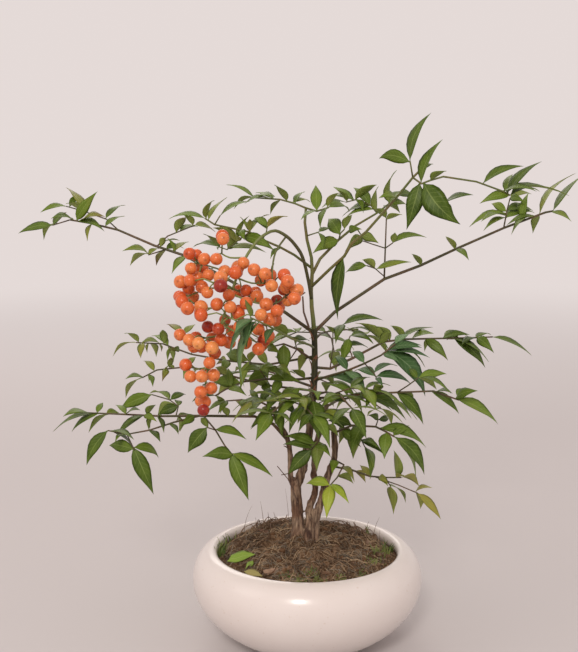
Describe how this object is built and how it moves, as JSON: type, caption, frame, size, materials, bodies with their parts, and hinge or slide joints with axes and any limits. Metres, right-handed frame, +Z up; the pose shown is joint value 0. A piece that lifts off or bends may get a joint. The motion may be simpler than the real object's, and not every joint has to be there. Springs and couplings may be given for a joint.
{
  "type": "potted bonsai tree",
  "caption": "Heavenly bamboo bonsai with clustered canes, airy compound leaves and a hanging bunch of round orange-red berries, planted in a squashed round glazed bowl.",
  "frame": {"origin": "centre of the pot's flat underside, where it stands", "axes": "+Z up along the pot's axis; -Y towards the viewer who sees the tree's front; +X to that viewer's right"},
  "size_m": [0.4409, 0.2615, 0.4007],
  "materials": {
    "glaze": "glossy cream glaze",
    "soil": "crumbly dark potting soil",
    "bark": "matt fissured bark",
    "berries": "smooth satin berry skin",
    "leaves": "satin evergreen leaf",
    "young_leaves": "satin young leaf",
    "fallen_leaves": "matt drying leaf"
  },
  "bodies": {
    "root": {"pot": "glaze", "soil": "soil", "canes": "bark", "berry_cluster": "berries", "leaf_crown": "leaves", "leaf_left_upper": "leaves", "leaf_far_left": "leaves", "leaf_upper_right": "leaves", "leaf_crown_right": "leaves", "leaf_long_right": "leaves", "leaf_right_mid": "leaves", "leaf_right_blue": "leaves", "leaf_right_front": "leaves", "leaf_right_low": "leaves", "leaf_front": "leaves", "leaf_centre_left": "leaves", "leaf_left_mid": "leaves", "leaf_left_inner": "leaves", "leaf_over_berries": "leaves", "leaf_lower_left": "leaves", "leaf_left_back": "leaves", "leaf_left_thin": "leaves", "leaf_front_right": "leaves", "leaf_front_left": "leaves", "leaf_back_left": "leaves", "leaf_back": "leaves", "leaf_back_right": "leaves", "leaf_lowest_right": "young_leaves", "young_shoot": "young_leaves", "fallen_leaf_long": "fallen_leaves", "fallen_leaf_short": "fallen_leaves"}
  },
  "joints": []
}
